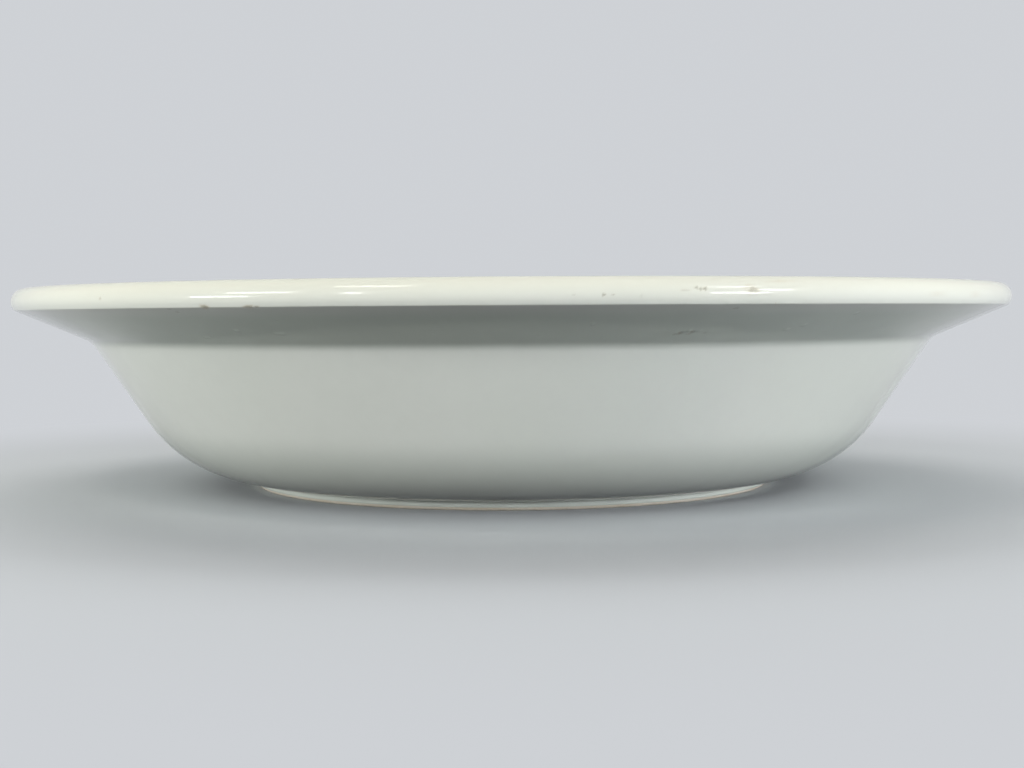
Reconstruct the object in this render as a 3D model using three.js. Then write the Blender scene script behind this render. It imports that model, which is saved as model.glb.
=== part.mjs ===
// Round deep dish of white glazed earthenware, made up as a potter makes it: a clay body, a foot ring
// joined under it, and the two fields of glaze that cover them. All four are turned about the Z axis.
// Millimetres, +Z up. The foot stands on z = 0, and the axis of the dish is x = y = 0.
import * as THREE from 'three';

// Finished dish, measured over the glaze
const rimRadius = 150;
const rimHeight = 60.3;
const glazeThickness = 0.35;
const glazeFit = 0.02;

// Lip: a rounded bead, undercut down to a crisp edge outside
const lipRoll = 3.9;
const lipUndercut = 28;
const lipHeight = 6.4;
const lipWidth = 6.5;
const lipInnerFall = 60;
const lipInnerFillet = 3;
const lipFootFillet = 5;
const arrisFillet = 0.5;

// Flange: the sloping border between lip and wall
const flangeSlope = 23.4;
const flangeThickness = 4.4;
const flangeInnerRadius = 127.8;
const flangeFillet = 6;
const shoulderFillet = 8;

// Wall and belly
const wallSlope = 56.5;
const wallThickness = 4.8;
const bellyFillet = 40;
const undersideRise = 8.5;

// Floor
const floorThickness = 4.7;
const wellFillet = 36;

// Foot ring, with a bare edge below the glaze
const footRadius = 80;
const footHeight = 2.4;
const footWidth = 5;
const footDraft = 15;
const footEdgeFillet = 0.6;
const bareFoot = 0.9;
const glazePool = 1;

// Fineness of the turned faces
const segments = 64;
const chordError = 0.15;

// A straight run of the section through (r, z), heading at an angle from the outward level.
// The clay lies on its left, and a fillet joins it to the next run.
function run(r, z, degrees, fillet = 0) {
  const angle = THREE.MathUtils.degToRad(degrees);
  const heading = new THREE.Vector2(Math.cos(angle), Math.sin(angle));
  return { at: new THREE.Vector2(r, z), heading, fillet };
}

function leftOf(heading) {
  return new THREE.Vector2(-heading.y, heading.x);
}

function pointAtRadius(straight, r) {
  const along = (r - straight.at.x) / straight.heading.x;
  return straight.at.clone().addScaledVector(straight.heading, along);
}

function pointAtHeight(straight, z) {
  const along = (z - straight.at.y) / straight.heading.y;
  return straight.at.clone().addScaledVector(straight.heading, along);
}

function meet(a, b) {
  const along = b.at.clone().sub(a.at).cross(b.heading) / a.heading.cross(b.heading);
  return a.at.clone().addScaledVector(a.heading, along);
}

function turnBetween(a, b) {
  return Math.atan2(a.heading.cross(b.heading), a.heading.dot(b.heading));
}

// The same run, moved a distance to its left
function movedLeft(straight, distance) {
  const at = straight.at.clone().addScaledVector(leftOf(straight.heading), distance);
  return { ...straight, at };
}

// The other side of a wall: a thickness to the left of the run, heading back
function otherFace(straight, thickness, fillet) {
  return { ...movedLeft(straight, thickness), heading: straight.heading.clone().negate(), fillet };
}

// The runs moved a depth into the clay, with outside fillets smaller and inside ones larger by as much
function inset(runs, depth) {
  return runs.map((straight, index) => {
    const next = runs[index + 1] ?? straight;
    const growth = -Math.sign(turnBetween(straight, next)) * depth;
    return { ...movedLeft(straight, depth), fillet: Math.max(straight.fillet + growth, 0) };
  });
}

// Points of a fillet between two runs, from where it leaves the first to where it joins the second
function filletPoints(a, b, reach) {
  const corner = meet(a, b);
  if (reach === 0) return [corner];
  const turn = turnBetween(a, b);
  const radius = reach / Math.tan(Math.abs(turn) / 2);
  const start = corner.clone().addScaledVector(a.heading, -reach);
  const centre = start.clone().addScaledVector(leftOf(a.heading), Math.sign(turn) * radius);
  const widestStep = 2 * Math.acos(1 - Math.min(chordError / radius, 1));
  const steps = Math.ceil(Math.abs(turn) / widestStep);
  const points = [];
  for (let step = 0; step <= steps; step += 1) {
    points.push(start.clone().rotateAround(centre, (turn * step) / steps));
  }
  return points;
}

// Points along the runs from start to end. Where two fillets need more room than the run between them
// has, both shrink to fit.
function outline(runs, start, end) {
  const corners = runs.slice(1).map((next, index) => meet(runs[index], next));
  const stops = [start, ...corners, end];
  const wanted = corners.map((_, index) => {
    return runs[index].fillet * Math.tan(Math.abs(turnBetween(runs[index], runs[index + 1])) / 2);
  });
  const reaches = wanted.map((reach, index) => {
    const before = stops[index].distanceTo(stops[index + 1]);
    const after = stops[index + 1].distanceTo(stops[index + 2]);
    const needBefore = reach + (wanted[index - 1] ?? 0);
    const needAfter = reach + (wanted[index + 1] ?? 0);
    return reach * Math.min(1, before / (needBefore || 1), after / (needAfter || 1));
  });
  const rounded = reaches.flatMap((reach, index) => filletPoints(runs[index], runs[index + 1], reach));
  return [start, ...rounded, end];
}

// Section of the glazed surface, from the foot up the outside, over the lip and down to the well
function surfaceRuns() {
  const rollCentre = run(rimRadius - lipRoll, rimHeight - lipRoll, 90 - lipUndercut, lipRoll);
  const lipFace = movedLeft(rollCentre, -lipRoll);
  const arris = pointAtHeight(lipFace, rimHeight - lipHeight);
  const flange = run(arris.x, arris.y, flangeSlope, arrisFillet);
  const flangeStart = pointAtRadius(flange, flangeInnerRadius);
  const wall = run(flangeStart.x, flangeStart.y, wallSlope, flangeFillet);
  return [
    run(footRadius, footHeight, 90 - footDraft, glazePool),
    run(footRadius, footHeight, undersideRise, bellyFillet),
    wall,
    flange,
    lipFace,
    run(rimRadius, rimHeight, 180, lipInnerFillet),
    run(rimRadius - lipWidth, rimHeight, 180 + lipInnerFall, lipFootFillet),
    otherFace(flange, flangeThickness, shoulderFillet),
    otherFace(wall, wallThickness, wellFillet),
    run(0, footHeight + floorThickness, 180),
  ];
}

// Under the glaze the body meets the foot in a sharp corner, which the pooled glaze fills
function runsUnderGlaze(depth) {
  const runs = inset(surface, depth);
  runs[0].fillet = 0;
  return runs;
}

const surface = surfaceRuns();
const glazeBack = runsUnderGlaze(glazeThickness);
const clay = runsUnderGlaze(glazeThickness + glazeFit);

const footOuterTop = meet(clay[0], clay[1]);
const footBottomRadius = pointAtHeight(clay[0], 0).x;
const footInner = run(footBottomRadius - footWidth, 0, 270 + footDraft, footEdgeFillet);
const footInnerTop = pointAtHeight(footInner, footOuterTop.y);

function clayBodyOutline() {
  const underFloor = new THREE.Vector2(0, footOuterTop.y);
  return [underFloor, ...outline(clay.slice(1), footOuterTop, pointAtRadius(clay.at(-1), 0))];
}

function footRingOutline() {
  const standing = run(footBottomRadius, 0, 0, footEdgeFillet);
  return [...outline([footInner, standing, clay[0]], footInnerTop, footOuterTop), footInnerTop];
}

function fromFootToWell(runs) {
  return outline(runs, pointAtHeight(runs[0], bareFoot), pointAtRadius(runs.at(-1), 0));
}

function glazeCoatOutline() {
  const face = fromFootToWell(surface);
  return [...face, ...fromFootToWell(glazeBack).toReversed(), face[0]];
}

function baseGlazeOutline() {
  const back = [run(0, footOuterTop.y - glazeFit, 0), inset([footInner], -glazeFit)[0]];
  const face = inset(back, -glazeThickness);
  face[0].fillet = glazePool;
  const faceOutline = outline(face, face[0].at, pointAtHeight(face[1], bareFoot));
  const backOutline = outline(back, back[0].at, pointAtHeight(back[1], bareFoot));
  return [...faceOutline, ...backOutline.toReversed()];
}

// A closed section turned about the Z axis
function turned(name, points, color, roughness) {
  const geometry = new THREE.LatheGeometry(points, segments).rotateX(Math.PI / 2);
  const material = new THREE.MeshStandardMaterial({ color, roughness, metalness: 0 });
  const mesh = new THREE.Mesh(geometry, material);
  mesh.name = name;
  return mesh;
}

const dish = new THREE.Group();
dish.add(
  turned('clay_body', clayBodyOutline(), '#d9d2c0', 0.9),
  turned('foot_ring', footRingOutline(), '#cfc6b1', 0.85),
  turned('glaze_coat', glazeCoatOutline(), '#e9ebe2', 0.12),
  turned('base_glaze', baseGlazeOutline(), '#e6e8de', 0.15),
);

export default dish;
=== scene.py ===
# Looks of a round deep dish of white glazed earthenware, on a pale studio floor.
# Metres, +Z up, with the dish's axis at x = y = 0. Azimuth 0 is -Y, the camera's side, and 90 is +X.
import math
import random
from collections import namedtuple

import bpy
import numpy as np
from mathutils import Matrix, Vector


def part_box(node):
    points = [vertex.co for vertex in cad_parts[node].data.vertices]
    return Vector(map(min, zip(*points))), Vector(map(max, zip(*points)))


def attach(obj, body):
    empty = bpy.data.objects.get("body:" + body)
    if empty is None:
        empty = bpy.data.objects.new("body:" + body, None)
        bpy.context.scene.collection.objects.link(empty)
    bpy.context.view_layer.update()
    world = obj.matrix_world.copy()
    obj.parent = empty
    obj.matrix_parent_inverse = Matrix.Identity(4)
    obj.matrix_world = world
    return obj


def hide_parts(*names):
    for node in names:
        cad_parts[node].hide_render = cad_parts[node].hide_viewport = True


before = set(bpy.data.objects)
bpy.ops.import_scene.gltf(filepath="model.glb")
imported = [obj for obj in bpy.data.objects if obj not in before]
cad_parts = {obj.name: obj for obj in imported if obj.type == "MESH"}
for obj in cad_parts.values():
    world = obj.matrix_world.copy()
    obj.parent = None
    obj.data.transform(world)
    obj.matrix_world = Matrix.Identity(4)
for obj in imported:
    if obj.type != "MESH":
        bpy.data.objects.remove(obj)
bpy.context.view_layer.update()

MM = 0.001

# Finished dish, measured over the glaze
RIM_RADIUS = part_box("glaze_coat")[1].x
RIM_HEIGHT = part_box("glaze_coat")[1].z
GLAZE_THICKNESS = 0.35 * MM
GLAZE_FIT = 0.02 * MM

# Lip: a rounded bead, undercut down to a crisp edge outside, the arris
LIP_ROLL = 3.9 * MM
LIP_UNDERCUT = 28
LIP_HEIGHT = 6.4 * MM
LIP_WIDTH = 6.5 * MM
LIP_INNER_FALL = 60
LIP_INNER_FILLET = 3 * MM
LIP_FOOT_FILLET = 5 * MM
ARRIS_FILLET = 0.5 * MM
ARRIS_HEIGHT = RIM_HEIGHT - LIP_HEIGHT

# Flange: the sloping border between lip and wall
FLANGE_SLOPE = 23.4
FLANGE_THICKNESS = 4.4 * MM
FLANGE_INNER_RADIUS = 127.8 * MM
FLANGE_FILLET = 6 * MM
SHOULDER_FILLET = 8 * MM

# Wall, belly and floor
WALL_SLOPE = 56.5
WALL_THICKNESS = 4.8 * MM
BELLY_FILLET = 40 * MM
UNDERSIDE_RISE = 8.5
FLOOR_THICKNESS = 4.7 * MM
WELL_FILLET = 36 * MM

# Foot ring, with a bare edge below the glaze
FOOT_RADIUS = 80 * MM
FOOT_HEIGHT = 2.4 * MM
FOOT_WIDTH = 5 * MM
FOOT_DRAFT = 15
FOOT_EDGE_FILLET = 0.6 * MM
BARE_FOOT = 0.9 * MM
GLAZE_POOL = 1 * MM

# Spacing of the mesh rows along the section. Faces that the glaze hides have theirs further apart.
LIP_ROWS = 0.32 * MM
FLANGE_ROWS = 0.6 * MM
SHOULDER_ROWS = 0.8 * MM
WALL_ROWS = 2.0 * MM
FLOOR_ROWS = 3.5 * MM
HIDDEN_ROWS_FACTOR = 8
LEAST_FILLET_STEPS = 3
# A row nearer to the axis than this is a single point
AXIS_TOLERANCE = 0.001 * MM

# Mesh columns round the dish, in degrees. They are closer together at a flaw and a margin past it.
COLUMN_STEP = 2
FINE_COLUMN_STEP = 0.15
FINE_COLUMN_MARGIN = 0.2
COLUMN_DIGITS = 4

# The dish warped a little in the kiln: its left side sank, and it is slightly out of round
RIM_SAG = 0.1 * MM
OUT_OF_ROUND = 0.25 * MM
WIDEST_AZIMUTH = -72

# Flaws of the glaze on the outside: where they are, in degrees of azimuth and by height, their size along
# and across the rim, how deep they are or how high where that is negative, and how far dirt, with painted
# shade in the pit, and a tan stain show
Flaw = namedtuple("Flaw", "azimuth height along across depth dirt stain")


def flaw(azimuth, height, along, across, depth=0.0, dirt=0.0, stain=0.0):
    """A flaw, with its azimuth in degrees and its lengths in millimetres."""
    return Flaw(azimuth, height * MM, along * MM, across * MM, depth * MM, dirt, stain)


ARRIS_CHIPS = [
    flaw(-28.1, 53.9, 1.7, 1.2, depth=0.16, dirt=0.70, stain=0.5),
    flaw(-23.4, 53.9, 1.9, 0.9, depth=0.12, dirt=0.60, stain=0.4),
    flaw(-22.6, 53.9, 1.0, 0.6, depth=0.08, dirt=0.45, stain=0.3),
    flaw(-32.5, 53.6, 1.3, 0.6, depth=0.05, dirt=0.25),
    flaw(-32.1, 53.0, 1.0, 0.6, depth=0.06, dirt=0.35),
]
LIP_PITS = [
    flaw(7.7, 56.1, 0.7, 0.7, depth=0.06, dirt=0.75, stain=0.1),
    flaw(8.5, 56.0, 0.7, 0.4, depth=0.02, dirt=0.40, stain=0.1),
    flaw(5.2, 56.0, 0.9, 0.4, depth=0.02, dirt=0.20),
    flaw(10.9, 55.8, 0.7, 0.7, depth=0.02, dirt=0.15),
    flaw(14.8, 57.0, 2.1, 0.4, depth=0.02, dirt=0.25, stain=0.1),
    flaw(15.8, 57.5, 0.9, 0.7, depth=0.05, dirt=0.80, stain=0.1),
    flaw(16.2, 57.4, 0.9, 0.7, depth=0.05, dirt=0.80, stain=0.1),
    flaw(16.6, 57.3, 1.0, 0.8, depth=0.05, dirt=0.80, stain=0.1),
    flaw(21.1, 57.0, 2.3, 1.2, depth=0.07, dirt=0.60, stain=0.4),
    flaw(-41.4, 56.4, 0.8, 0.6, depth=0.02, dirt=0.40, stain=0.2),
]
FLANGE_PITS = [
    flaw(16.9, 47.3, 1.1, 1.6, depth=0.13, dirt=0.80),
    flaw(18.1, 47.4, 1.0, 1.5, depth=0.14, dirt=0.85),
    flaw(16.4, 46.9, 0.8, 0.9, depth=0.10, dirt=0.55),
    flaw(17.9, 46.9, 1.0, 0.6, depth=0.10, dirt=0.60),
    flaw(19.6, 47.3, 1.0, 0.6, depth=0.06, dirt=0.25),
    flaw(20.1, 52.8, 1.0, 0.9, depth=0.10, dirt=0.55),
]
FLANGE_BUMPS = [
    flaw(17.6, 48.0, 1.0, 1.1, depth=-0.18),
    flaw(18.7, 47.6, 1.8, 1.0, depth=-0.15),
    flaw(-33.9, 46.7, 2.4, 1.0, depth=-0.15),
    flaw(-28.5, 48.5, 1.5, 1.2, depth=-0.15),
    flaw(-23.6, 47.8, 3.3, 1.2, depth=-0.18),
    flaw(7.5, 49.6, 0.8, 1.5, depth=-0.20),
    flaw(28.8, 48.0, 1.5, 1.1, depth=-0.18),
    flaw(30.2, 49.0, 1.5, 1.2, depth=-0.15),
    flaw(34.7, 51.7, 1.4, 1.0, depth=-0.15),
]
FLAWS = ARRIS_CHIPS + LIP_PITS + FLANGE_PITS + FLANGE_BUMPS
# Tan stains under the glaze of the lip, which leave its surface smooth
SMOOTH_STAINS = [
    flaw(23.2, 59.3, 3.0, 1.4, stain=0.45),
    flaw(24.6, 59.2, 4.2, 1.4, stain=0.35),
    flaw(20.8, 57.5, 4.4, 1.6, stain=0.25),
    flaw(43.6, 56.5, 4.6, 1.6, stain=0.15),
    flaw(52.3, 56.4, 5.0, 1.6, stain=0.15),
]

# A flaw's cover starts at its reach, in half sizes from its middle, and is full an edge further in. Lobes
# make that edge uneven: how many go round, how large they are and how far they turn from flaw to flaw.
FLAW_REACH = 1.25
FLAW_EDGE = 0.7
FLAW_LOBES = [(3, 0.16, 1), (5, 0.10, 2)]
STAIN_SPREAD = 1.6

# Sets of long low waves in the glaze: how many sets and how high, the fewest and most waves of a set that
# go round the dish, and the least and greatest distance between their crests down the section
RIPPLE_SEED = 7
RIPPLE_WAVES = 14
RIPPLE_HEIGHT = 0.018 * MM
RIPPLE_TURNS = (6, 70)
RIPPLE_LENGTHS = (9 * MM, 60 * MM)

# All relief fades out at the two ends of the glaze, by the foot and in the middle of the well
RELIEF_FADE = 3 * MM

# Wear on the arris and in the well, and darker, greener glaze towards the foot and under the flange, where
# it is painted shade with the tone of gathered glaze
ARRIS_WEAR_WIDTH = 0.9 * MM
WELL_WEAR_RADIUS = 100 * MM
WELL_WEAR_FADE = 35 * MM
GATHERED_AND_SHADE_FADE = 3 * MM
FOOT_TINT_HEIGHT = 24 * MM
FOOT_TINT_FADE = 15 * MM
FOOT_TINT_SHARE = 0.45

# Utensil marks in the well: the way each set runs, in degrees, the length of its marks, and how many show
UTENSIL_MARKS = [(23, 34 * MM, 0.30), (-48, 26 * MM, 0.28), (71, 30 * MM, 0.28), (-9, 22 * MM, 0.28)]
MARK_WIDTH = 0.35 * MM

# Heights between which the lip turns cream, partly painted warm light from above, and how unevenly it does
CREAM_START = 52.5 * MM
CREAM_FULL = 61 * MM
CREAM_UNEVENNESS = 1.5 * MM

# How far the base glaze pools out from the foot's corner, and how high grime reaches on the foot
POOL_WIDTH = 5 * MM
GRIME_HEIGHT = 0.7 * MM

# How strongly each layer of a finish shows where it is fullest, how rough it is, and how glaze bends light
GATHERED_AND_SHADE_STRENGTH = 0.8
SPECK_STRENGTH = 0.35
BASE_SPECK_STRENGTH = 0.7
MARK_STRENGTH = 0.26
MARK_ROUGHNESS = 0.3
DIRT_ROUGHNESS = 0.8
CLAY_ROUGHNESS = 0.88
GLAZE_IOR = 1.52

# How soft a speck's edge is, as a share of its radius, and the share of a kept mark that shows fully
SPECK_SOFTNESS = 0.3
MARK_CORE = 0.7

# Colours, as red, green, blue and opacity
GLAZE_WHITE = (0.870, 0.895, 0.845, 1)
GLAZE_GREENISH = (0.845, 0.880, 0.820, 1)
GLAZE_SHADED = (0.825, 0.850, 0.800, 1)
# Cream of the lip's top: an ivory tone of the glaze with painted warm light from above
CREAM_AND_WARM_LIGHT = (0.840, 0.835, 0.722, 1)
# Darker, greener glaze: under the flange it is painted shade with the tone of gathered glaze
GLAZE_GATHERED_AND_SHADE = (0.700, 0.780, 0.690, 1)
GLAZE_POOLED = (0.62, 0.70, 0.60, 1)
STAIN_TAN = (0.62, 0.50, 0.33, 1)
IRON_SPECK = (0.22, 0.16, 0.10, 1)
# Dirt in the flaws, which also paints the shade in pits and chips
PIT_OLIVE = (0.33, 0.32, 0.23, 1)
SCRATCH_GREY = (0.46, 0.47, 0.45, 1)
CLAY_CREAM = (0.80, 0.75, 0.65, 1)
CLAY_BUFF = (0.72, 0.64, 0.52, 1)
CLAY_DARK = (0.50, 0.42, 0.31, 1)
FOOT_GRIME = (0.26, 0.21, 0.15, 1)

# The studio. Its floor reaches far out, and fades into the pale world between two distances from the axis.
# What floor and world throw onto the dish has tones of its own.
FLOOR_REACH = 30
FLOOR_FADE_START = 0.12
FLOOR_FADE_END = 0.34
STUDIO_PALE = (0.62, 0.64, 0.67, 1)
FLOOR_BOUNCE = (0.02, 0.02, 0.02, 1)
AMBIENT_WHITE = (1, 1, 1, 1)
AMBIENT_STRENGTH = 0.02

# The camera, from the photograph's perspective. It looks down by its pitch, in degrees, and its lens and
# sensor are in millimetres.
CAMERA_DISTANCE = 478.2 * MM
CAMERA_HEIGHT = 51.5 * MM
CAMERA_PITCH = 2.57
CAMERA_ROLL = 0.35
CAMERA_LENS = 53.28
CAMERA_SENSOR = 36
CAMERA_NEAR = 0.01
CAMERA_FAR = 50

# Where each lamp stands as seen from the dish, its size, how strongly it lights and its tone. The soft
# lamps give the light and leave no highlight, and the small ones give the thin highlights along the lip.
LIGHT_AIM = Vector((0, 0, 40 * MM))
WARM = (1.0, 0.97, 0.86)
NEUTRAL = (0.98, 1.0, 0.975)
COOL = (0.975, 1.0, 1.03)
Lamp = namedtuple("Lamp", "name azimuth elevation distance width height level tone")
SOFT_LAMPS = [
    Lamp("left_soft", -63, 5, 1.0, 0.50, 0.22, 0.375, NEUTRAL),
    Lamp("right_soft", 56, 5, 1.0, 0.54, 0.22, 0.48, COOL),
    Lamp("front_fill", 4, 22, 1.6, 1.4, 0.5, 0.25, NEUTRAL),
    Lamp("left_side", -115, 5, 1.5, 0.8, 0.25, 0.13, NEUTRAL),
    Lamp("right_side", 115, 5, 1.5, 0.8, 0.25, 0.13, NEUTRAL),
    Lamp("back_low", 180, 8, 2.0, 2.2, 0.5, 0.58, NEUTRAL),
    Lamp("back_left", -155, 52, 2.0, 1.5, 1.0, 0.25, NEUTRAL),
    Lamp("back_right", 155, 52, 2.0, 1.5, 1.0, 0.25, NEUTRAL),
    Lamp("overhead", 180, 80, 1.5, 1.2, 1.2, 0.15, WARM),
]
HIGHLIGHT_LAMPS = [
    Lamp("left_low", -54, 1, 0.55, 0.12, 0.055, 0.095, NEUTRAL),
    Lamp("left_middle", -47, 17, 0.55, 0.13, 0.045, 0.078, NEUTRAL),
    Lamp("left_small", -28, 11, 0.55, 0.035, 0.05, 0.026, NEUTRAL),
    Lamp("left_upper", -33, 47, 0.70, 0.15, 0.055, 0.065, WARM),
    Lamp("right_low", 41, 3, 0.55, 0.11, 0.045, 0.09, COOL),
    Lamp("right_middle", 49, 15, 0.55, 0.06, 0.045, 0.045, COOL),
    Lamp("right_upper", 46, 31, 0.70, 0.11, 0.06, 0.04, COOL),
]

# A straight run of the section through (r, z), heading at an angle from the outward level. The clay lies
# on its left, and a fillet joins it to the next run. Mesh rows lie a spacing apart along both.
Run = namedtuple("Run", "at heading fillet spacing")


def run(r, z, degrees, fillet=0.0, spacing=WALL_ROWS):
    angle = math.radians(degrees)
    return Run(np.array([r, z]), np.array([math.cos(angle), math.sin(angle)]), fillet, spacing)


def cross(a, b):
    return a[0] * b[1] - a[1] * b[0]


def left_of(heading):
    return np.array([-heading[1], heading[0]])


def rotated(arm, angle):
    c, s = math.cos(angle), math.sin(angle)
    return np.array([c * arm[0] - s * arm[1], s * arm[0] + c * arm[1]])


def point_at_radius(straight, r):
    return straight.at + straight.heading * (r - straight.at[0]) / straight.heading[0]


def point_at_height(straight, z):
    return straight.at + straight.heading * (z - straight.at[1]) / straight.heading[1]


def meet(a, b):
    return a.at + a.heading * cross(b.at - a.at, b.heading) / cross(a.heading, b.heading)


def turn_between(a, b):
    return math.atan2(cross(a.heading, b.heading), float(a.heading @ b.heading))


def moved_left(straight, distance):
    return straight._replace(at=straight.at + left_of(straight.heading) * distance)


def other_face(straight, thickness, fillet):
    """The other side of a wall: a thickness to the left of the run, heading back."""
    return moved_left(straight, thickness)._replace(heading=-straight.heading, fillet=fillet)


def inset(runs, depth):
    """The runs moved a depth into the clay. Outside fillets shrink and inside ones grow by as much."""
    moved = []
    for straight, following in zip(runs, runs[1:] + runs[-1:]):
        growth = -np.sign(turn_between(straight, following)) * depth
        fillet = max(straight.fillet + growth, 0)
        moved.append(moved_left(straight, depth)._replace(fillet=fillet))
    return moved


def coarser(runs):
    return [straight._replace(spacing=straight.spacing * HIDDEN_ROWS_FACTOR) for straight in runs]


def straight_points(start, end, spacing):
    """Points from after start up to end."""
    count = max(1, math.ceil(np.linalg.norm(end - start) / spacing))
    return [start + (end - start) * step / count for step in range(1, count + 1)]


def fillet_points(a, b, reach):
    """Points of a fillet between two runs, which starts and ends at its reach from their corner."""
    corner = meet(a, b)
    if reach == 0:
        return [corner]
    turn = turn_between(a, b)
    radius = reach / math.tan(abs(turn) / 2)
    start = corner - a.heading * reach
    centre = start + left_of(a.heading) * math.copysign(radius, turn)
    count = max(LEAST_FILLET_STEPS, math.ceil(radius * abs(turn) / min(a.spacing, b.spacing)))
    return [centre + rotated(start - centre, turn * step / count) for step in range(count + 1)]


def outline(runs, start, end):
    """Points along the runs from start to end. Fillets that need more room than there is shrink."""
    pairs = list(zip(runs, runs[1:]))
    stops = [start, *(meet(a, b) for a, b in pairs), end]
    room = [np.linalg.norm(b - a) for a, b in zip(stops, stops[1:])]
    wanted = [a.fillet * math.tan(abs(turn_between(a, b)) / 2) for a, b in pairs]
    needed = [before + after for before, after in zip([0, *wanted], [*wanted, 0])]
    points = [start]
    for index, (a, b) in enumerate(pairs):
        share = min([1] + [room[side] / needed[side] for side in (index, index + 1) if needed[side] > 0])
        bend = fillet_points(a, b, wanted[index] * share)
        points += straight_points(points[-1], bend[0], a.spacing) + bend[1:]
    points += straight_points(points[-1], end, runs[-1].spacing)
    return np.array(points)


def surface_runs():
    """Section of the glazed surface, from the foot up the outside, over the lip and down to the well."""
    roll = run(RIM_RADIUS - LIP_ROLL, RIM_HEIGHT - LIP_ROLL, 90 - LIP_UNDERCUT, LIP_ROLL, LIP_ROWS)
    lip_face = moved_left(roll, -LIP_ROLL)
    arris = point_at_height(lip_face, ARRIS_HEIGHT)
    flange = run(*arris, FLANGE_SLOPE, ARRIS_FILLET, FLANGE_ROWS)
    flange_start = point_at_radius(flange, FLANGE_INNER_RADIUS)
    wall = run(*flange_start, WALL_SLOPE, FLANGE_FILLET)
    return [
        run(FOOT_RADIUS, FOOT_HEIGHT, 90 - FOOT_DRAFT, GLAZE_POOL, LIP_ROWS),
        run(FOOT_RADIUS, FOOT_HEIGHT, UNDERSIDE_RISE, BELLY_FILLET),
        wall,
        flange,
        lip_face,
        run(RIM_RADIUS, RIM_HEIGHT, 180, LIP_INNER_FILLET, LIP_ROWS),
        run(RIM_RADIUS - LIP_WIDTH, RIM_HEIGHT, 180 + LIP_INNER_FALL, LIP_FOOT_FILLET, FLANGE_ROWS),
        other_face(flange, FLANGE_THICKNESS, SHOULDER_FILLET)._replace(spacing=SHOULDER_ROWS),
        other_face(wall, WALL_THICKNESS, WELL_FILLET),
        run(0, FOOT_HEIGHT + FLOOR_THICKNESS, 180, 0, FLOOR_ROWS),
    ]


def runs_under_glaze(depth):
    """Under the glaze the body meets the foot in a sharp corner, which the pooled glaze fills."""
    runs = coarser(inset(surface, depth))
    runs[0] = runs[0]._replace(fillet=0)
    return runs


surface = surface_runs()
glaze_back = runs_under_glaze(GLAZE_THICKNESS)
clay = runs_under_glaze(GLAZE_THICKNESS + GLAZE_FIT)
flange_corner_height = meet(surface[2], surface[3])[1]
foot_outer_top = meet(clay[0], clay[1])
foot_bottom_radius = point_at_height(clay[0], 0)[0]
foot_inner = run(foot_bottom_radius - FOOT_WIDTH, 0, 270 + FOOT_DRAFT, FOOT_EDGE_FILLET, LIP_ROWS)
foot_inner_top = point_at_height(foot_inner, foot_outer_top[1])


def clay_body_outline():
    under_floor = np.array([0, foot_outer_top[1]])
    return np.array([under_floor, *outline(clay[1:], foot_outer_top, point_at_radius(clay[-1], 0))])


def foot_ring_outline():
    standing = run(foot_bottom_radius, 0, 0, FOOT_EDGE_FILLET, LIP_ROWS)
    outside = clay[0]._replace(spacing=LIP_ROWS)
    return outline([foot_inner, standing, outside], foot_inner_top, foot_outer_top)


def from_foot_to_well(runs):
    return outline(runs, point_at_height(runs[0], BARE_FOOT), point_at_radius(runs[-1], 0))


def base_glaze_outline():
    """The field of glaze under the floor: its face from the axis to the foot, and its back to the axis."""
    back = [run(0, foot_outer_top[1] - GLAZE_FIT, 0, 0, FLOOR_ROWS), inset([foot_inner], -GLAZE_FIT)[0]]
    face = inset(back, -GLAZE_THICKNESS)
    face[0] = face[0]._replace(fillet=GLAZE_POOL)
    out, home = (outline(runs, runs[0].at, point_at_height(runs[1], BARE_FOOT)) for runs in (face, back))
    return np.concatenate([out, home[::-1]])


def column_angles(flaws=()):
    """Azimuths of the mesh columns, in radians."""
    angles = set(range(-180, 180, COLUMN_STEP))
    for spot in flaws:
        reach = math.degrees(spot.along / RIM_RADIUS) + FINE_COLUMN_MARGIN
        first = math.floor((spot.azimuth - reach) / FINE_COLUMN_STEP)
        last = math.ceil((spot.azimuth + reach) / FINE_COLUMN_STEP)
        angles |= {round(step * FINE_COLUMN_STEP, COLUMN_DIGITS) for step in range(first, last + 1)}
    return np.radians(sorted(angles))


def outward_normals(points):
    """Unit normals of the section, on the right of its direction."""
    along = np.gradient(points, axis=0)
    along /= np.linalg.norm(along, axis=1)[:, None]
    return np.stack([along[:, 1], -along[:, 0]], axis=1)


def distances(points):
    """How far each point lies from the first, along the section."""
    steps = np.linalg.norm(np.diff(points, axis=0), axis=1)
    return np.concatenate([[0], np.cumsum(steps)])


def on_axis(points):
    return points[:, 0] < AXIS_TOLERANCE


def warped(r, z, azimuth):
    """Where a point of the true round form lies after the firing, which is inside that form's box."""
    height = z / RIM_HEIGHT
    squeeze = (1 - np.cos(2 * (azimuth - math.radians(WIDEST_AZIMUTH)))) / 2
    r = r - OUT_OF_ROUND * squeeze * height * r / RIM_RADIUS
    sag = RIM_SAG * height * (1 - np.sin(azimuth) * r / RIM_RADIUS) / 2
    return r * np.sin(azimuth), -r * np.cos(azimuth), z - sag


def vertex_values(grid, points):
    """A grid of row and column values in the order of the turned mesh's vertices. A row on the axis has a
    single vertex, and any other has one in each column."""
    return np.concatenate([row[:1] if pole else row for row, pole in zip(grid, on_axis(points))])


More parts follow.
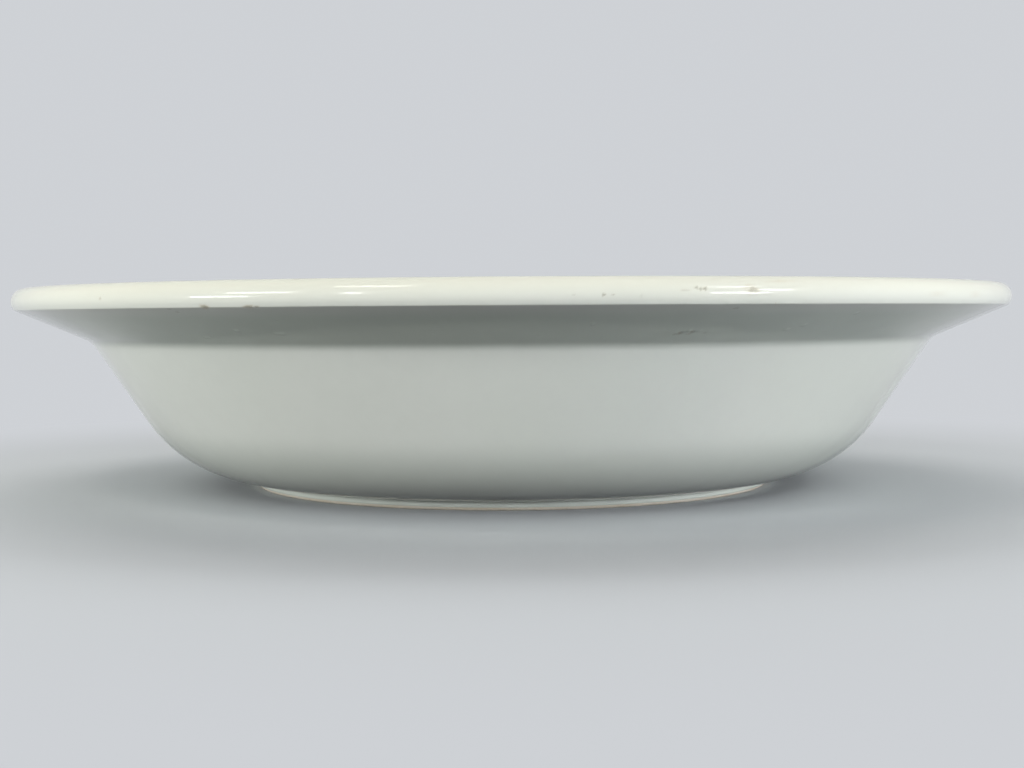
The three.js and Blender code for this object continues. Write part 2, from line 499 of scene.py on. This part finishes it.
def turned_faces(poles, columns):
    """Faces between each row of vertices and the next, and from the last to the first. Poles are the rows
    on the axis, where a face has three corners."""
    counts = np.where(poles, 1, columns)
    firsts = np.cumsum(counts) - counts
    rows = [first + np.arange(columns) * (not pole) for first, pole in zip(firsts, poles)]
    faces = []
    for row, lower in enumerate(rows):
        following = (row + 1) % len(rows)
        if poles[row] and poles[following]:
            continue
        upper = rows[following]
        ring = np.stack([lower, np.roll(lower, -1), np.roll(upper, -1), upper], axis=1)
        faces.extend(list(dict.fromkeys(face)) for face in ring.tolist())
    return faces


def added(name, data):
    """A new object in the scene."""
    thing = bpy.data.objects.new(name, data)
    bpy.context.scene.collection.objects.link(thing)
    return thing


def turned(name, points, angles, offsets=None):
    """A mesh object of the closed section turned about Z. Offsets move each row and column outwards."""
    r, z = (np.tile(values[:, None], len(angles)) for values in points.T)
    if offsets is not None:
        normals = outward_normals(points)
        r = r + normals[:, :1] * offsets
        z = z + normals[:, 1:] * offsets
    places = vertex_values(np.stack(warped(r, z, angles), axis=2), points)
    mesh = bpy.data.meshes.new(name)
    mesh.from_pydata(places.tolist(), [], turned_faces(on_axis(points), len(angles)))
    mesh.validate()
    mesh.shade_smooth()
    return added(name, mesh)


def plain_piece(name, points):
    return turned(name, points, column_angles())


def smooth_step(value):
    value = np.clip(value, 0, 1)
    return value * value * (3 - 2 * value)


# The glazed face as a grid of rows from the foot to the well, and of columns at angles round the dish. A
# row has its distance travelled along the section, its radius and height, and whether it is outside.
Grid = namedtuple("Grid", "travelled radii heights outside angles")


def face_grid(face):
    radii, heights = face.T
    outside = np.arange(len(face)) < np.argmax(heights)
    return Grid(distances(face), radii, heights, outside, column_angles(FLAWS))


def flaw_cover(spot, grid):
    """How far a flaw covers each row and column, from 0 to 1, with an uneven edge."""
    home = np.argmin(np.abs(grid.heights[grid.outside] - spot.height))
    along = (grid.angles[None, :] - math.radians(spot.azimuth)) * grid.radii[home] / (spot.along / 2)
    across = (grid.travelled[:, None] - grid.travelled[home]) / (spot.across / 2)
    turn = np.arctan2(across, along)
    phase = spot.azimuth + spot.height / MM
    lobes = sum(size * np.sin(count * turn + shift * phase) for count, size, shift in FLAW_LOBES)
    return smooth_step((FLAW_REACH + lobes - np.hypot(along, across)) / FLAW_EDGE)


def glaze_ripple(grid):
    """How far the glaze's long low waves lie below their highest crest, as negative heights. Each set has
    a whole number of waves round the dish, so that they join up."""
    chance = random.Random(RIPPLE_SEED)
    total = np.zeros((len(grid.travelled), len(grid.angles)))
    for _ in range(RIPPLE_WAVES):
        around = chance.randint(*RIPPLE_TURNS)
        across = 2 * math.pi / chance.uniform(*RIPPLE_LENGTHS) * chance.choice((-1, 1))
        phase = chance.uniform(0, 2 * math.pi)
        total += np.sin(around * grid.angles[None, :] + across * grid.travelled[:, None] + phase)
    return (total - total.max()) * RIPPLE_HEIGHT / math.sqrt(RIPPLE_WAVES)


def glaze_offsets(grid):
    """How far the glaze stands out from the true surface: its ripple, less the depth of the flaws."""
    offsets = glaze_ripple(grid)
    for spot in FLAWS:
        offsets -= flaw_cover(spot, grid) * spot.depth
    from_end = np.minimum(grid.travelled, grid.travelled[-1] - grid.travelled)
    return offsets * smooth_step(from_end / RELIEF_FADE)[:, None]


def flaw_layers(grid):
    """How far dirt, with painted shade in the pits, and a tan stain show at each row and column. A stain
    spreads past its flaw.
    """
    dirt = 0.0
    stain = 0.0
    for spot in FLAWS:
        dirt = np.maximum(dirt, flaw_cover(spot, grid) * spot.dirt)
        wide = spot._replace(along=spot.along * STAIN_SPREAD, across=spot.across * STAIN_SPREAD)
        stain = np.maximum(stain, flaw_cover(wide, grid) * spot.stain)
    for spot in SMOOTH_STAINS:
        stain = np.maximum(stain, flaw_cover(spot, grid) * spot.stain)
    return {"dirt": dirt, "stain": stain}


def row_layers(grid):
    """How far the arris and the well are worn, and how far the glaze is darker and greener under the
    flange, as painted shade, and towards the foot, the same all round each row.
    """
    edge = smooth_step(1 - np.abs(grid.heights - ARRIS_HEIGHT) / ARRIS_WEAR_WIDTH) * grid.outside
    well = smooth_step((WELL_WEAR_RADIUS - grid.radii) / WELL_WEAR_FADE) * ~grid.outside
    gathered_and_shade_start = flange_corner_height - GATHERED_AND_SHADE_FADE / 2
    above_wall = smooth_step((grid.heights - gathered_and_shade_start) / GATHERED_AND_SHADE_FADE)
    under_flange = above_wall * smooth_step((ARRIS_HEIGHT - grid.heights) / GATHERED_AND_SHADE_FADE)
    by_foot = smooth_step((FOOT_TINT_HEIGHT - grid.heights) / FOOT_TINT_FADE) * FOOT_TINT_SHARE
    gathered_and_shade = np.maximum(under_flange, by_foot) * grid.outside
    rows = {"edge": edge, "well": well, "gathered_and_shade": gathered_and_shade}
    return {name: np.tile(values[:, None], len(grid.angles)) for name, values in rows.items()}


def glaze_coat_piece():
    """The coat of glaze, with its flaws, wear, and darker glaze under the flange and by the foot, partly
    painted shade, in attributes that its material reads.
    """
    face = from_foot_to_well(surface)
    back = from_foot_to_well(glaze_back)
    grid = face_grid(face)
    hidden = np.zeros((len(back), len(grid.angles)))
    points = np.concatenate([face, back[::-1]])
    offsets = np.concatenate([glaze_offsets(grid), hidden])
    piece = turned("white_glaze_coat", points, grid.angles, offsets)
    for name, layer in {**flaw_layers(grid), **row_layers(grid)}.items():
        values = vertex_values(np.concatenate([layer, hidden]), points)
        attribute = piece.data.attributes.new(name, "FLOAT", "POINT")
        attribute.data.foreach_set("value", values.astype(np.float32))
    return piece


# Places of a Mix node's colour sockets, which share their names with its other sockets
MIX_SHARE = 0
MIX_FIRST = 6
MIX_SECOND = 7
MIX_RESULT = 2


class Shade:
    """A material under construction, with short calls for the nodes that the finishes share."""

    def __init__(self, name):
        self.material = bpy.data.materials.new(name)
        self.material.use_nodes = True
        self.nodes = self.material.node_tree.nodes
        self.links = self.material.node_tree.links
        self.surface = self.nodes["Principled BSDF"]

    def node(self, kind, inputs=None, **settings):
        made = self.nodes.new("ShaderNode" + kind)
        for name, value in settings.items():
            setattr(made, name, value)
        for name, value in (inputs or {}).items():
            self.put(made.inputs[name], value)
        return made

    def put(self, socket, value):
        """Links an output to the socket, or sets the socket to a plain value."""
        if isinstance(value, bpy.types.NodeSocket):
            self.links.new(value, socket)
        else:
            socket.default_value = value

    def place(self):
        return self.node("TexCoord").outputs["Object"]

    def height(self):
        return self.node("SeparateXYZ", {"Vector": self.place()}).outputs["Z"]

    def painted(self, name):
        return self.node("Attribute", attribute_name=name).outputs["Fac"]

    def noise(self, size, detail, roughness=0.5):
        """Noise from 0 to 1 whose largest blobs measure about the size."""
        inputs = {"Vector": self.place(), "Scale": 1 / size, "Detail": detail, "Roughness": roughness}
        return self.node("TexNoise", inputs).outputs["Fac"]

    def combine(self, operation, a, b):
        return self.node("Math", {0: a, 1: b}, operation=operation).outputs[0]

    def plus(self, a, b):
        return self.combine("ADD", a, b)

    def times(self, a, b):
        return self.combine("MULTIPLY", a, b)

    def larger(self, a, b):
        return self.combine("MAXIMUM", a, b)

    def band(self, value, low, high, to_low=0.0, to_high=1.0):
        """The value's way from low to high, eased and clamped."""
        inputs = {"Value": value, "From Min": low, "From Max": high, "To Min": to_low, "To Max": to_high}
        return self.node("MapRange", inputs, interpolation_type="SMOOTHSTEP").outputs["Result"]

    def mix(self, share, first, second):
        inputs = {MIX_SHARE: share, MIX_FIRST: first, MIX_SECOND: second}
        return self.node("Mix", inputs, data_type="RGBA").outputs[MIX_RESULT]

    def specks(self, spacing, radius, kept):
        """Small round specks at random places, of which a share is kept."""
        cells = self.node("TexVoronoi", {"Vector": self.place(), "Scale": 1 / spacing})
        edge = radius / spacing
        outer, inner = edge * (1 + SPECK_SOFTNESS), edge * (1 - SPECK_SOFTNESS)
        near = self.band(cells.outputs["Distance"], outer, inner)
        chance = self.node("SeparateColor", {"Color": cells.outputs["Color"]}).outputs["Red"]
        return self.times(near, self.combine("LESS_THAN", chance, kept))

    def scratches(self, turn, length, width, kept):
        """Fine marks along one direction, turned about Z, of which the deepest are kept."""
        stretch = {"Rotation": (0, 0, math.radians(turn)), "Scale": (width, length, length)}
        place = self.node("Mapping", {"Vector": self.place(), **stretch}, vector_type="TEXTURE")
        inputs = {"Vector": place.outputs["Vector"], "Scale": 1.0, "Detail": 1.0, "Roughness": 0.5}
        marks = self.node("TexNoise", inputs).outputs["Fac"]
        return self.band(marks, 1 - kept, 1 - kept * MARK_CORE)

    def bump(self, height, depth, under=None):
        inputs = {"Height": height, "Distance": depth, "Strength": 1.0}
        if under is not None:
            inputs["Normal"] = under
        return self.node("Bump", inputs).outputs["Normal"]

    def finish(self, piece, **inputs):
        for name, value in inputs.items():
            self.put(self.surface.inputs[name.replace("_", " ")], value)
        piece.data.materials.append(self.material)


def glaze_tone(shade):
    """White with slow greenish clouds and mottling, a cream lip with painted warm light, and darker,
    greener glaze towards the foot and under the flange, there as painted shade.
    """
    cloud = shade.noise(70 * MM, detail=2)
    mottle = shade.noise(5 * MM, detail=4, roughness=0.6)
    tone = shade.mix(shade.band(cloud, 0.3, 0.7), GLAZE_WHITE, GLAZE_GREENISH)
    tone = shade.mix(shade.band(mottle, 0.3, 0.8, to_high=0.35), tone, GLAZE_SHADED)
    # Cream towards the lip's top: painted warm light from above, with an ivory tone
    uneven_height = shade.plus(shade.height(), shade.times(cloud, CREAM_UNEVENNESS))
    tone = shade.mix(shade.band(uneven_height, CREAM_START, CREAM_FULL), tone, CREAM_AND_WARM_LIGHT)
    # Darker and greener under the flange, as painted shade, and towards the foot
    gathered_and_shade = shade.times(shade.painted("gathered_and_shade"), GATHERED_AND_SHADE_STRENGTH)
    return shade.mix(gathered_and_shade, tone, GLAZE_GATHERED_AND_SHADE)


def tan_stains(shade, grain):
    """The painted stains, broken up by a fine grain, and spots of wear along the arris."""
    stain = shade.times(shade.painted("stain"), shade.band(grain, 0.2, 0.75, to_low=0.5))
    spots = shade.band(shade.noise(3.2 * MM, detail=4, roughness=0.75), 0.66, 0.76, to_high=0.5)
    return shade.larger(stain, shade.times(shade.painted("edge"), spots))


def utensil_marks(shade):
    """Faint crossed marks on the floor of the well."""
    marks = 0.0
    for turn, length, kept in UTENSIL_MARKS:
        marks = shade.larger(marks, shade.scratches(turn, length, MARK_WIDTH, kept))
    return shade.times(marks, shade.painted("well"))


def glaze_skin(shade, dirt, grain):
    """A faint ripple of the skin, small pinholes, and the crumbs of the dirt."""
    ripple = shade.bump(shade.noise(4.5 * MM, detail=2, roughness=0.4), depth=0.012 * MM)
    pinholes = shade.specks(spacing=6 * MM, radius=0.25 * MM, kept=0.12)
    pitted = shade.bump(pinholes, depth=-0.03 * MM, under=ripple)
    return shade.bump(shade.times(dirt, grain), depth=0.10 * MM, under=pitted)


def white_glaze(piece):
    shade = Shade("white_glaze")
    grain = shade.noise(0.7 * MM, detail=3, roughness=0.7)
    dirt = shade.times(shade.painted("dirt"), shade.band(grain, 0.2, 0.7, to_low=0.75))
    marks = utensil_marks(shade)
    specks = shade.specks(spacing=11 * MM, radius=0.28 * MM, kept=0.08)
    tone = shade.mix(tan_stains(shade, grain), glaze_tone(shade), STAIN_TAN)
    tone = shade.mix(shade.times(specks, SPECK_STRENGTH), tone, IRON_SPECK)
    tone = shade.mix(shade.times(marks, MARK_STRENGTH), tone, SCRATCH_GREY)
    # Dirt in the flaws, darker with painted shade in the pits and chips
    tone = shade.mix(dirt, tone, PIT_OLIVE)
    uneven = shade.noise(12 * MM, detail=4, roughness=0.6)
    glossy = shade.band(uneven, 0.3, 0.8, to_low=0.05, to_high=0.10)
    worn = shade.plus(glossy, shade.times(marks, MARK_ROUGHNESS))
    rough = shade.larger(worn, shade.times(dirt, DIRT_ROUGHNESS))
    skin = glaze_skin(shade, dirt, grain)
    shade.finish(piece, Base_Color=tone, Roughness=rough, Normal=skin, IOR=GLAZE_IOR)


def base_glaze(piece):
    """The same glaze under the floor: duller, with more specks, and pooled in the corner of the foot."""
    shade = Shade("base_glaze")
    mottle = shade.noise(9 * MM, detail=4, roughness=0.6)
    tone = shade.mix(shade.band(mottle, 0.3, 0.7), GLAZE_WHITE, GLAZE_SHADED)
    specks = shade.specks(spacing=8 * MM, radius=0.4 * MM, kept=0.15)
    tone = shade.mix(shade.times(specks, BASE_SPECK_STRENGTH), tone, IRON_SPECK)
    radius = shade.node("VectorMath", {0: shade.place()}, operation="LENGTH").outputs["Value"]
    corner = foot_inner.at[0]
    pool = shade.band(radius, corner - POOL_WIDTH, corner, to_high=0.6)
    tone = shade.mix(pool, tone, GLAZE_POOLED)
    uneven = shade.noise(15 * MM, detail=4, roughness=0.6)
    rough = shade.band(uneven, 0.3, 0.8, to_low=0.09, to_high=0.2)
    skin = shade.bump(shade.noise(5 * MM, detail=3), depth=0.03 * MM)
    shade.finish(piece, Base_Color=tone, Roughness=rough, Normal=skin, IOR=GLAZE_IOR)


def fired_clay(piece):
    shade = Shade("fired_clay")
    grain = shade.noise(1.2 * MM, detail=5, roughness=0.7)
    cloud = shade.noise(20 * MM, detail=3)
    tone = shade.mix(shade.band(cloud, 0.3, 0.7), CLAY_CREAM, CLAY_BUFF)
    tone = shade.mix(shade.band(grain, 0.35, 0.8, to_high=0.4), tone, CLAY_DARK)
    skin = shade.bump(grain, depth=0.05 * MM)
    shade.finish(piece, Base_Color=tone, Roughness=CLAY_ROUGHNESS, Normal=skin)


def bare_foot(piece):
    """Clay with grime near the table."""
    shade = Shade("bare_foot")
    grain = shade.noise(0.9 * MM, detail=5, roughness=0.75)
    cloud = shade.noise(14 * MM, detail=4)
    tone = shade.mix(shade.band(cloud, 0.3, 0.7), CLAY_CREAM, CLAY_BUFF)
    low = shade.band(shade.height(), GRIME_HEIGHT, 0.0)
    patches = shade.band(shade.noise(6 * MM, detail=5, roughness=0.7), 0.35, 0.75, to_low=0.1, to_high=0.6)
    tone = shade.mix(shade.times(low, patches), tone, FOOT_GRIME)
    tone = shade.mix(shade.band(grain, 0.55, 0.8, to_high=0.5), tone, CLAY_DARK)
    rough = shade.band(grain, 0.3, 0.7, to_low=0.65, to_high=0.9)
    skin = shade.bump(grain, depth=0.08 * MM)
    shade.finish(piece, Base_Color=tone, Roughness=rough, Normal=skin)


def object_pieces():
    under_floor = plain_piece("base_glaze_field", base_glaze_outline())
    coat = glaze_coat_piece()
    body = plain_piece("turned_clay_body", clay_body_outline())
    foot = plain_piece("turned_foot_ring", foot_ring_outline())
    dressed = [
        (coat, "glaze_coat", "white_glaze", white_glaze),
        (under_floor, "base_glaze", "base_glaze", base_glaze),
        (body, "clay_body", "fired_clay", fired_clay),
        (foot, "foot_ring", "bare_foot", bare_foot),
    ]
    for piece, node, slot, finish in dressed:
        finish(piece)
        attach(piece, "root")
        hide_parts(node)


def background_ray(tree):
    """1 for rays that see the background, straight, in a reflection or through glass, else 0."""
    path = tree.nodes.new("ShaderNodeLightPath")
    seen = path.outputs["Is Camera Ray"]
    for name in ("Is Glossy Ray", "Is Transmission Ray"):
        larger = tree.nodes.new("ShaderNodeMath")
        larger.operation = "MAXIMUM"
        tree.links.new(seen, larger.inputs[0])
        tree.links.new(path.outputs[name], larger.inputs[1])
        seen = larger.outputs[0]
    return seen


def mixed(tree, share, a, b):
    mix = tree.nodes.new("ShaderNodeMixShader")
    for index, output in enumerate((share, a, b)):
        tree.links.new(output, mix.inputs[index])
    return mix.outputs[0]


def shader(tree, kind, tone, strength=None):
    made = tree.nodes.new("ShaderNode" + kind)
    made.inputs["Color"].default_value = tone
    if strength is not None:
        made.inputs["Strength"].default_value = strength
    return made.outputs[0]


def distance_fade(tree):
    """0 near the dish, rising to 1 where the floor has faded into the world."""
    place = tree.nodes.new("ShaderNodeTexCoord").outputs["Object"]
    length = tree.nodes.new("ShaderNodeVectorMath")
    length.operation = "LENGTH"
    tree.links.new(place, length.inputs[0])
    far = tree.nodes.new("ShaderNodeMapRange")
    far.interpolation_type = "SMOOTHSTEP"
    far.inputs["From Min"].default_value = FLOOR_FADE_START
    far.inputs["From Max"].default_value = FLOOR_FADE_END
    tree.links.new(length.outputs["Value"], far.inputs["Value"])
    return far.outputs["Result"]


def floor_material():
    """Pale where it is seen, but it throws hardly any light back onto the dish, so that the underside of
    the flange stays dark."""
    material = bpy.data.materials.new("studio_floor")
    material.use_nodes = True
    tree = material.node_tree
    lit = shader(tree, "BsdfDiffuse", STUDIO_PALE)
    backdrop = shader(tree, "Emission", STUDIO_PALE, 1.0)
    pale = mixed(tree, distance_fade(tree), lit, backdrop)
    seen = mixed(tree, background_ray(tree), shader(tree, "BsdfDiffuse", FLOOR_BOUNCE), pale)
    tree.links.new(seen, tree.nodes["Material Output"].inputs["Surface"])
    return material


def studio_floor():
    """A wide floor that keeps the dish's shadow."""
    mesh = bpy.data.meshes.new("floor")
    corners = [(x * FLOOR_REACH, y * FLOOR_REACH, 0) for x, y in ((-1, -1), (1, -1), (1, 1), (-1, 1))]
    mesh.from_pydata(corners, [], [(0, 1, 2, 3)])
    mesh.materials.append(floor_material())
    added("floor", mesh)


def studio_world():
    world = bpy.data.worlds.new("studio")
    world.use_nodes = True
    tree = world.node_tree
    tree.nodes.remove(tree.nodes["Background"])
    ambient = shader(tree, "Background", AMBIENT_WHITE, AMBIENT_STRENGTH)
    backdrop = shader(tree, "Background", STUDIO_PALE, 1.0)
    seen = mixed(tree, background_ray(tree), ambient, backdrop)
    tree.links.new(seen, tree.nodes["World Output"].inputs["Surface"])
    bpy.context.scene.world = world


def add_lamp(lamp):
    """A rectangular lamp that faces the dish. At level 1 it fully lights a white face square to it."""
    light = bpy.data.lights.new(lamp.name, "AREA")
    light.shape = "RECTANGLE"
    light.size = lamp.width
    light.size_y = lamp.height
    light.energy = lamp.level * math.pi ** 2 * lamp.distance ** 2
    light.color = lamp.tone
    a, e = math.radians(lamp.azimuth), math.radians(lamp.elevation)
    back = Vector((math.sin(a) * math.cos(e), -math.cos(a) * math.cos(e), math.sin(e)))
    turn = (-back).to_track_quat("-Z", "Y").to_matrix().to_4x4()
    holder = added(lamp.name, light)
    holder.matrix_world = Matrix.Translation(LIGHT_AIM + back * lamp.distance) @ turn
    holder.visible_camera = False
    return holder


def add_camera():
    data = bpy.data.cameras.new("camera")
    data.lens = CAMERA_LENS
    data.sensor_width = CAMERA_SENSOR
    data.clip_start = CAMERA_NEAR
    data.clip_end = CAMERA_FAR
    place = Matrix.Translation((0, -CAMERA_DISTANCE, CAMERA_HEIGHT))
    pitch = Matrix.Rotation(math.radians(90 - CAMERA_PITCH), 4, "X")
    roll = Matrix.Rotation(math.radians(-CAMERA_ROLL), 4, "Z")
    holder = added("camera", data)
    holder.matrix_world = place @ pitch @ roll
    bpy.context.scene.camera = holder


bpy.context.scene.view_settings.view_transform = "Standard"

add_camera()
for lamp in SOFT_LAMPS:
    add_lamp(lamp).visible_glossy = False
for lamp in HIGHLIGHT_LAMPS:
    add_lamp(lamp)
studio_floor()
studio_world()
object_pieces()
